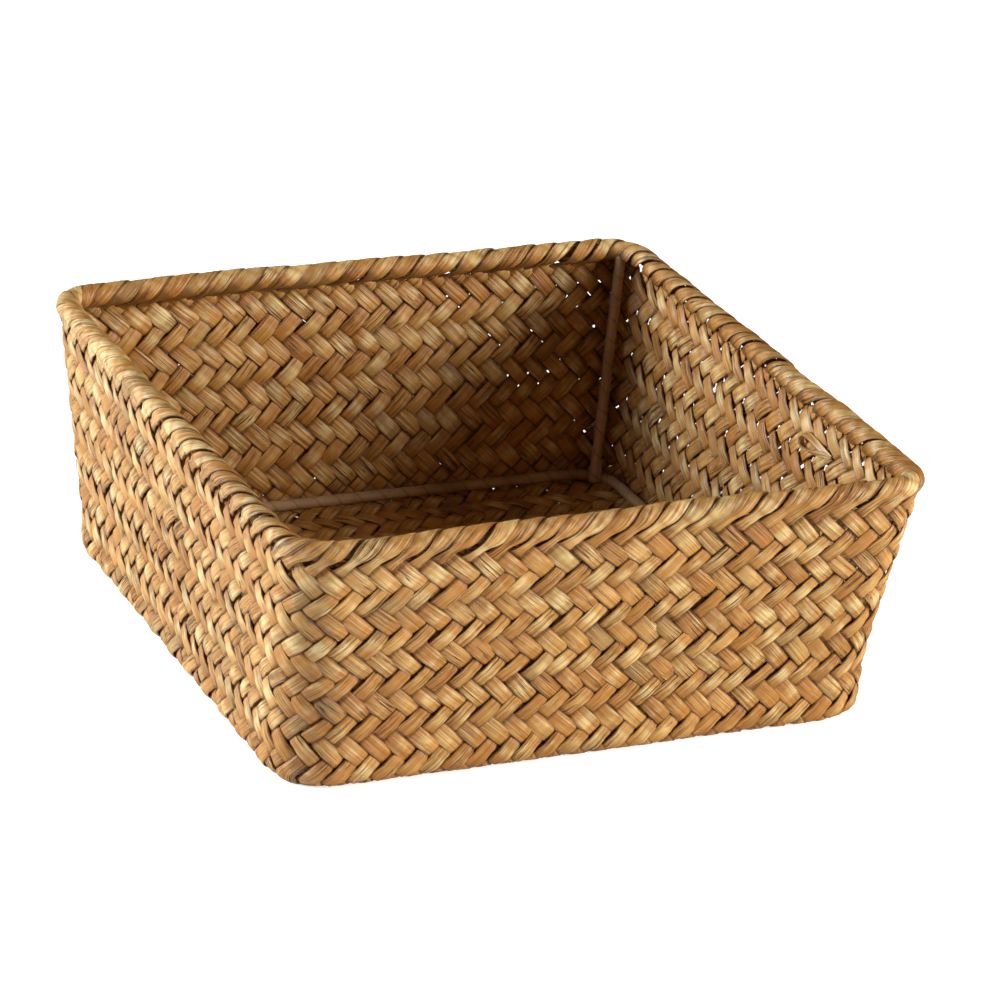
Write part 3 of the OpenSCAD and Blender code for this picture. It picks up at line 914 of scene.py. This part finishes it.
def steel_material(name, looks):
    """Drawn steel wire: metal with fine scratches and dull patches."""
    material, n, shader = new_material(name)
    place = n.add("ShaderNodeTexCoord").outputs["Object"]
    scratch = n.noise(n.scaled(place, (900, 900, 200)), detail=4.0, rough=0.7)
    dull = n.noise(n.scaled(place, (90, 90, 90)), detail=3.0)
    tone = n.mix(n.span(dull, 0.4, 0.7), (*looks.steel, 1), (0.2, 0.17, 0.15, 1))
    links = material.node_tree.links
    links.new(tone, shader.inputs["Base Color"])
    links.new(n.plus(n.times(scratch, 0.4), 0.2), shader.inputs["Roughness"])
    bump = n.add("ShaderNodeBump", into={"Height": scratch, "Strength": 0.25,
                                         "Distance": 0.1 * MM})
    links.new(bump.outputs[0], shader.inputs["Normal"])
    shader.inputs["Metallic"].default_value = 1.0
    return material


def round_tube(centre, across, upward, radius, around):
    """Tube about a centre line: each ring's point at angle a is centre + radius (across cos a +
    upward sin a). radius is one number, or one for each ring and point."""
    angle = 2 * np.pi * np.arange(around) / around
    radius = np.broadcast_to(radius, (len(centre), around))
    return (centre[:, None] + radius[..., None] * (
        across[:, None] * np.cos(angle)[:, None] + upward[:, None] * np.sin(angle)[:, None]))


# Taped wire: distance between rings, points round one, and how far the bottom ring's centre line
# lies inside the foot's corner arc.
TAPE_SPACING, TAPE_AROUND, RING_INSET = 0.9 * MM, 24, 6.6 * MM
# A post's tape is wider where it cups the ring, up to a height and over a fade, and its end closes
# over a length from a small opening.
CUP, CUP_HEIGHT, CUP_FADE, END_ROUND, END_MOUTH = 0.5 * MM, 5 * MM, 2.5 * MM, 1.6 * MM, 0.1 * MM
# How far the tape reaches past the post wire's foot, and how far the wire's box stands past the
# middle of its end, in wire radii.
FOOT_REACH, END_OFFSET = 0.9, 0.5
# The winding wanders by a share of a turn and the radius by a length, each over a length of wire.
# A turn's edge drops from a share of the turn on.
WINDING_WANDER, WINDING_RUN = 0.12, 0.05
RADIUS_WANDER, RADIUS_RUN = 0.06 * MM, 0.03
EDGE_START = 0.9


def tape_relief(gone, around, radius, looks, rng):
    """Radius of a wound tape, and its winding count: the turn climbs one pitch for each lap of the
    wire, and the radius drops by a step where one turn ends on the next."""
    angle = np.arange(around) / around
    drift = WINDING_WANDER * wander(gone, rng, WINDING_RUN)
    winding = (gone / looks.tape_pitch + drift)[:, None] + angle
    saw = winding - np.floor(winding)
    lift = looks.tape_step * (saw - 0.5 - smooth((saw - EDGE_START) / (1 - EDGE_START)))
    return radius + lift + RADIUS_WANDER * wander(gone, rng, RADIUS_RUN)[:, None], winding


# Length of leaf that the pattern map counts round a strip, the loop and a fibre.
STRIP_GIRTH, LOOP_GIRTH, FIBRE_GIRTH = 17 * MM, 9 * MM, 1.5 * MM


class BASKET_OT_strips(bpy.types.Operator):
    """Weaves the hundred strips of the base, walls and rim"""

    bl_idname = "basket.strips"
    bl_label = "Weave strips"

    def execute(self, context):
        scene = context.scene
        weave = Weave(scene.basket_shape, scene.basket_strips)
        material = seagrass_material("Seagrass plaiting", scene.basket_looks)
        lanes = np.arange(-2 * weave.half + 0.5, 2 * weave.half)
        # Share of the way to a strip's edge, by which the material darkens edges as stain and as
        # painted shade between strips.
        across = np.abs(strip_section()[0])[None]
        for family in (0, 1):
            for quarter, part in enumerate(np.array_split(lanes, 4)):
                made = MeshParts(len(part))
                for lane in part:
                    points, gone, deep, shade = weave_strip(weave, family, lane)
                    rng = np.random.default_rng([weave.sizes.seed, 5, family, lane_number(lane)])
                    made.tube(points, gone, STRIP_GIRTH, strip=rng.uniform(), depth=deep,
                              shade=shade, edge=across)
                walls = STRIP_WALLS[family, part.mean() > 0]
                nodes = {"plaited_base", *(node for wall in walls for node in WALL_NODES[wall]),
                         *(node for wall in walls if wraps_roll(family, wall)
                           for node in RIM_NODES[wall])}
                made.build(f"seagrass_strips_{'ab'[family]}{quarter + 1}", material,
                           "seagrass_wall", sorted(nodes), flip=family == 1)
        return {"FINISHED"}


def ring_path(foot_corner, spacing):
    """Centre line of the bottom ring: its box gives the sides, and its corners turn as the foot's
    do. Points with their outward plan normals, evenly spaced round a rounded rectangle."""
    radius = (RING_HIGH.z - RING_LOW.z) / 2
    half_w, half_d = RING_HIGH.x - radius, RING_HIGH.y - radius
    bend = foot_corner - RING_INSET
    sides = ((half_w - bend, half_d - bend), (half_d - bend, half_w - bend)) * 2
    points, normals = [], []
    for side, (run, reach) in enumerate(sides):
        turn = side * np.pi / 2
        c, s = math.cos(turn), math.sin(turn)
        steps = int(round(2 * run / spacing))
        along = np.linspace(-run, run, steps, endpoint=False)
        arc = np.linspace(0, np.pi / 2, int(round(bend * np.pi / 2 / spacing)), endpoint=False)
        u = np.concatenate([along, run + bend * np.sin(arc)])
        v = np.concatenate([np.full(steps, reach + bend), reach + bend * np.cos(arc)])
        nu = np.concatenate([np.zeros(steps), np.sin(arc)])
        nv = np.concatenate([np.ones(steps), np.cos(arc)])
        points.append(np.stack([u * c + v * s, u * s - v * c], 1))
        normals.append(np.stack([nu * c + nv * s, nu * s - nv * c], 1))
    z = (RING_HIGH.z + RING_LOW.z) / 2
    points, normals = np.concatenate(points), np.concatenate(normals)
    flat = np.zeros(len(points))
    return np.column_stack([points, flat + z]), np.column_stack([normals, flat]), radius


class BASKET_OT_tape(bpy.types.Operator):
    """Winds paper tape round the bottom ring and the four posts"""

    bl_idname = "basket.tape"
    bl_label = "Wind tape"

    def execute(self, context):
        looks = context.scene.basket_frame
        material = paper_material("Wound paper tape", looks, True)
        rng = np.random.default_rng(context.scene.basket_strips.seed + 40)
        foot_corner = context.scene.basket_shape.foot_corner
        centre, normal, radius = ring_path(foot_corner, TAPE_SPACING)
        centre, normal = (np.concatenate([a, a[:2]]) for a in (centre, normal))
        gone = length_along(centre)
        size, winding = tape_relief(gone, TAPE_AROUND, radius, looks, rng)
        up = np.broadcast_to([0.0, 0.0, 1.0], centre.shape)
        ring = MeshParts(1).tube(round_tube(centre, normal, up, size, TAPE_AROUND), gone,
                                 2 * np.pi * radius, winding=winding)
        ring.build("tape_bottom_ring", material, "paper_tape", ["bottom_ring_tape"])
        for side in (-1, 1):
            for end in (-1, 1):
                self.post(material, looks, rng, radius, side, end)
        return {"FINISHED"}

    def post(self, material, looks, rng, radius, side, end):
        """Tape on one post, from a wider cup over the bottom ring up into the roll."""
        name = f"{'back' if end > 0 else 'front'}_{'right' if side > 0 else 'left'}"
        low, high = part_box(f"post_wire_{name}")
        wire = (WIRE_HIGH.z - WIRE_LOW.z) / 2
        inner = np.array([min(abs(low.x), abs(high.x)), min(abs(low.y), abs(high.y))]) + wire
        outer = np.array([max(abs(low.x), abs(high.x)), max(abs(low.y), abs(high.y))]) - wire
        foot = np.array([inner[0] * side, inner[1] * end, low.z + END_OFFSET * wire])
        head = np.array([outer[0] * side, outer[1] * end, high.z - END_OFFSET * wire])
        run = np.linalg.norm(head - foot)
        axis = (head - foot) / run
        gone = np.arange(-FOOT_REACH * wire, run, TAPE_SPACING)
        centre = foot + gone[:, None] * axis
        across = unit(np.cross(axis, [0.0, 0.0, 1.0]))
        upward = np.cross(axis, across)
        size, winding = tape_relief(gone, TAPE_AROUND, radius, looks, rng)
        cup = CUP * (1 - smooth((gone - CUP_HEIGHT) / CUP_FADE))
        close = np.sqrt(np.clip((gone - gone[0] + END_MOUTH) / END_ROUND, 0, 1))
        size = (size + cup[:, None]) * close[:, None]
        shape = np.broadcast_to(across, centre.shape), np.broadcast_to(upward, centre.shape)
        made = MeshParts(1).tube(round_tube(centre, *shape, size, TAPE_AROUND), gone - gone[0],
                                 2 * np.pi * radius, winding=winding)
        made.build(f"tape_post_{name}", material, "paper_tape", [f"post_tape_{name}"],
                   flip=True)


# The loose loop: half its strip's width, its thickness, how far it stands off the wall, and how much
# its legs lean from level.
LOOP_HALF_WIDTH, LOOP_THICKNESS, LOOP_BULGE = 1.9 * MM, 1.1 * MM, 3.4 * MM
LOOP_SLOPE = 1.5 * MM
# What its box leaves for the strip above and behind its middle line, and how far each end goes into
# the wall, along it and across it.
LOOP_ABOVE, LOOP_BEHIND, LOOP_ENTRY, LOOP_SINK = 0.9 * MM, 0.8 * MM, 2 * MM, 0.4 * MM
# Points along each leg and round the turn, and the greatest twist of the strip, in degrees.
LOOP_STEPS, LOOP_TWIST = 40, 70


class BASKET_OT_loop(bpy.types.Operator):
    """Shapes the loose loop of strip on the inside of the right wall"""

    bl_idname = "basket.loop"
    bl_label = "Shape loop"

    def execute(self, context):
        scene = context.scene
        material = seagrass_material("Seagrass loop", scene.basket_looks)
        mid_z = (LOOP_LOW.z + LOOP_HIGH.z) / 2
        rise = (LOOP_HIGH.z - LOOP_LOW.z) / 2 - LOOP_ABOVE
        back = LOOP_HIGH.y - LOOP_BEHIND
        turn = np.linspace(-np.pi / 2, np.pi / 2, LOOP_STEPS)
        leg = np.linspace(LOOP_LOW.y - LOOP_ENTRY, back - rise, LOOP_STEPS, endpoint=False)
        level = np.full(LOOP_STEPS, rise)
        y = np.concatenate([leg, back - rise + rise * np.cos(turn), leg[::-1]])
        share = np.linspace(0, 1, len(y))
        pinch = 1 - 0.75 * smooth(np.abs(share - 0.5) * 3.2 - 0.6)
        z = mid_z + pinch * np.concatenate([-level, rise * np.sin(turn), level])
        z = z - LOOP_SLOPE * (share - 0.5)
        inside = plan_sizes(z, scene.basket_shape)[0] - scene.basket_shape.skin
        x = inside + LOOP_SINK - LOOP_BULGE * np.sin(np.pi * share) ** 0.7
        centre = np.stack([x, y, z], 1)
        gone = length_along(centre)
        tangent = unit(np.gradient(centre, gone, axis=0))
        inward = np.broadcast_to([-1.0, 0.0, 0.0], centre.shape)
        flat = unit(np.cross(tangent, inward))
        edge_on = np.cross(flat, tangent)
        twist = (np.radians(LOOP_TWIST) * np.sin(np.pi * share))[:, None]
        across = flat * np.cos(twist) + edge_on * np.sin(twist)
        outward = np.cross(across, tangent)
        q, crown = strip_section()
        half = LOOP_HALF_WIDTH * (1 - 0.5 * np.abs(2 * share - 1) ** 6)
        points = (centre[:, None] + across[:, None] * (q * half[:, None])[..., None]
                  + outward[:, None] * (crown * LOOP_THICKNESS)[None, :, None])
        made = MeshParts(1).tube(points, gone, LOOP_GIRTH, strip=0.3, depth=0.0, shade=0.6,
                                 edge=np.abs(q)[None])
        made.build("seagrass_loop", material, "seagrass_rim", ["strip_loop"], flip=True)
        return {"FINISHED"}


# Rings along a fibre, points round it, and its least height above the floor.
FIBRE_RINGS, FIBRE_AROUND, FIBRE_CLEARANCE = 9, 4, 0.5 * MM


class BASKET_OT_frays(bpy.types.Operator):
    """Raises a few split fibres from the strips"""

    bl_idname = "basket.frays"
    bl_label = "Raise fibres"

    def execute(self, context):
        weave = Weave(context.scene.basket_shape, context.scene.basket_strips)
        looks, sizes = context.scene.basket_looks, weave.sizes
        material = seagrass_material("Seagrass fibres", looks, straw=looks.pale)
        rng = np.random.default_rng([sizes.seed, 77])
        made = MeshParts(sizes.frays)
        for _ in range(sizes.frays):
            self.fibre(weave, made, rng)
        nodes = sorted({node for side in WALL_NODES.values() for node in side})
        made.build("seagrass_fibres", material, "seagrass_wall", nodes, flip=True)
        return {"FINISHED"}

    def fibre(self, weave, made, rng):
        """A tapered fibre along a strip's float: its height over the strip grows as t^2 and its
        radius shrinks as (1 - t)^0.7."""
        family, size = int(rng.integers(2)), 2 * weave.half
        lane = math.floor(rng.uniform(-size, size)) + 0.5
        first, last = weave.span(family, lane)
        node = math.floor(rng.uniform(first + 3, last - 5)) + 0.5
        t = np.linspace(0, 1, FIBRE_RINGS)
        run = node + rng.choice([-1, 1]) * (rng.uniform(0.5, 0.95) * t - 0.3)
        aside = rng.uniform(-0.42, 0.42) + rng.normal(0, 0.14) * t ** 2
        x, y = weave.lattice(family, lane, np.full(1, node))
        out = float(weave.outside(family, lane, x, y)[0])
        x, y = weave.lattice(family, lane + aside, run)
        over = 0.62 * weave.sizes.thickness + rng.uniform(0.3, 1.7) * MM * t ** 2
        level = np.full(FIBRE_RINGS, out * weave.sizes.swing)
        centre = weave.place(family, lane, x, y, level, out * over)
        centre[:, 2] = np.maximum(centre[:, 2], FIBRE_CLEARANCE)
        gone = length_along(centre)
        tangent = unit(np.gradient(centre, gone, axis=0))
        across = unit(np.cross(tangent, rng.normal(0, 1, 3)))
        radius = rng.uniform(0.14, 0.3) * MM * ((1 - t) ** 0.7 + 0.06)
        upward = np.cross(tangent, across)
        points = round_tube(centre, across, upward, radius[:, None], FIBRE_AROUND)
        made.tube(points, gone, FIBRE_GIRTH, strip=rng.uniform(), depth=0.0, shade=rng.uniform(),
                  edge=0.0)


class BASKET_OT_wires(bpy.types.Operator):
    """Gives the wires and the tape inside the rim their finishes"""

    bl_idname = "basket.wires"
    bl_label = "Finish wires"

    def execute(self, context):
        looks = context.scene.basket_frame
        steel = steel_material("Drawn steel wire", looks)
        paper = paper_material("Rim paper tape", looks, False)
        for name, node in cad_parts.items():
            if "wire" in name:
                self.finish(node, steel)
            elif name == "top_ring_tape":
                self.finish(node, paper)
        return {"FINISHED"}

    def finish(self, node, material):
        """Puts the material in every slot of a node's object."""
        if not node.material_slots:
            raise RuntimeError(f"{node.name} has no material slot")
        for slot in node.material_slots:
            slot.link = "OBJECT"
            slot.material = material


WARM, COOL = (1.0, 0.97, 0.93), (0.96, 1.04, 1.17)
# Each lamp's heading, counted from the right, and height above the floor, both in degrees, and its
# tint.
LAMPS = {"left": (158, 19, COOL), "front": (315, 18, WARM), "right": (338, 32, WARM)}
# Side of a lamp's square, its distance, and the point that the lamps face.
LAMP_SIDE, LAMP_DISTANCE, LAMP_AIM = 1.0, 2.2, Vector((0, 0, 0.06))


class BASKET_OT_stage(bpy.types.Operator):
    """Sets the floor, the lights and the camera"""

    bl_idname = "basket.stage"
    bl_label = "Set stage"

    def execute(self, context):
        scene = context.scene
        studio = scene.basket_studio
        scene.view_settings.view_transform = "Standard"
        self.floor(studio)
        self.sky(scene, studio)
        for name, place in LAMPS.items():
            self.lamp(f"{name.title()} light", getattr(studio, name), *place)
        self.camera(scene, studio)
        return {"FINISHED"}

    def sky(self, scene, studio):
        """A white backdrop that gives only a little light of its own."""
        world = bpy.data.worlds.new("Studio light")
        world.use_nodes = True
        n = Nodes(world.node_tree)
        seen = n.add("ShaderNodeLightPath").outputs["Is Camera Ray"]
        strength = n.plus(n.times(seen, studio.backdrop - studio.sky), studio.sky)
        background = world.node_tree.nodes["Background"]
        background.inputs[0].default_value = (1, 1, 1, 1)
        world.node_tree.links.new(strength, background.inputs[1])
        scene.world = world

    def floor(self, studio):
        """A square floor just large enough to fill every view. What the camera sees of it is
        lifted towards white, and its light on the basket stays its own."""
        half = studio.floor_side / 2
        mesh = bpy.data.meshes.new("floor")
        mesh.from_pydata([(-half, -half, 0), (half, -half, 0), (half, half, 0), (-half, half, 0)],
                         [], [(0, 1, 2, 3)])
        material, n, shader = new_material("Pale floor")
        shader.inputs["Base Color"].default_value = (*studio.floor, 1)
        shader.inputs["Roughness"].default_value = 0.9
        shader.inputs["Emission Color"].default_value = (1, 1, 1, 1)
        seen = n.add("ShaderNodeLightPath").outputs["Is Camera Ray"]
        n.tree.links.new(n.times(seen, studio.floor_lift), shader.inputs["Emission Strength"])
        mesh.materials.append(material)
        floor = bpy.data.objects.new("floor", mesh)
        bpy.context.scene.collection.objects.link(floor)

    def lamp(self, name, power, heading, height, tint):
        """A square soft light that faces the basket from a heading, counted from the right, and a
        height above the floor, both in degrees."""
        turn, lift = math.radians(heading), math.radians(height)
        away = Vector((math.cos(turn) * math.cos(lift), math.sin(turn) * math.cos(lift),
                       math.sin(lift)))
        data = bpy.data.lights.new(name, "AREA")
        data.energy, data.size, data.color = power, LAMP_SIDE, tint
        lamp = bpy.data.objects.new(name, data)
        lamp.location = away * LAMP_DISTANCE
        lamp.rotation_euler = (LAMP_AIM - lamp.location).to_track_quat("-Z", "Y").to_euler()
        bpy.context.scene.collection.objects.link(lamp)

    def camera(self, scene, studio):
        """The camera: heading and dip give its direction, and roll turns it about that."""
        sin_h, cos_h = math.sin(studio.heading), math.cos(studio.heading)
        sin_d, cos_d = math.sin(studio.dip), math.cos(studio.dip)
        ahead = Vector((sin_h * cos_d, cos_h * cos_d, -sin_d))
        right = Vector((cos_h, -sin_h, 0))
        up = right.cross(ahead)
        c, s = math.cos(studio.roll), math.sin(studio.roll)
        right, up = right * c + up * s, up * c - right * s
        data = bpy.data.cameras.new("Camera")
        data.lens = studio.lens
        data.sensor_width = 36
        camera = bpy.data.objects.new("Camera", data)
        camera.matrix_world = Matrix((
            (right.x, up.x, -ahead.x, studio.eye[0]), (right.y, up.y, -ahead.y, studio.eye[1]),
            (right.z, up.z, -ahead.z, studio.eye[2]), (0, 0, 0, 1)))
        scene.collection.objects.link(camera)
        scene.camera = camera


class BASKET_PT_panel(bpy.types.Panel):
    """Sizes, colours and steps of the basket"""

    bl_idname = "BASKET_PT_panel"
    bl_label = "Plaited basket"
    bl_space_type = "VIEW_3D"
    bl_region_type = "UI"
    bl_category = "Basket"

    def draw(self, context):
        for step in STEPS:
            self.layout.operator(step)
        for name in GROUPS:
            box = self.layout.box()
            settings = getattr(context.scene, name)
            for key in settings.__annotations__:
                box.prop(settings, key)


GROUPS = {"basket_shape": BasketShape, "basket_strips": StripSizes, "basket_looks": SeagrassLooks,
          "basket_frame": FrameLooks, "basket_studio": StudioSettings}
OPERATORS = (BASKET_OT_strips, BASKET_OT_tape, BASKET_OT_loop, BASKET_OT_frays, BASKET_OT_wires,
             BASKET_OT_stage)
STEPS = tuple(c.bl_idname for c in OPERATORS)


def register():
    for kind in (*GROUPS.values(), *OPERATORS, BASKET_PT_panel):
        bpy.utils.register_class(kind)
    for name, kind in GROUPS.items():
        setattr(bpy.types.Scene, name, PointerProperty(type=kind))


def unregister():
    for name in GROUPS:
        delattr(bpy.types.Scene, name)
    for kind in (BASKET_PT_panel, *OPERATORS, *GROUPS.values()):
        bpy.utils.unregister_class(kind)


def main():
    """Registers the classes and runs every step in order."""
    register()
    for step in STEPS:
        family, name = step.split(".")
        getattr(getattr(bpy.ops, family), name)()


if __name__ == "__main__":
    main()
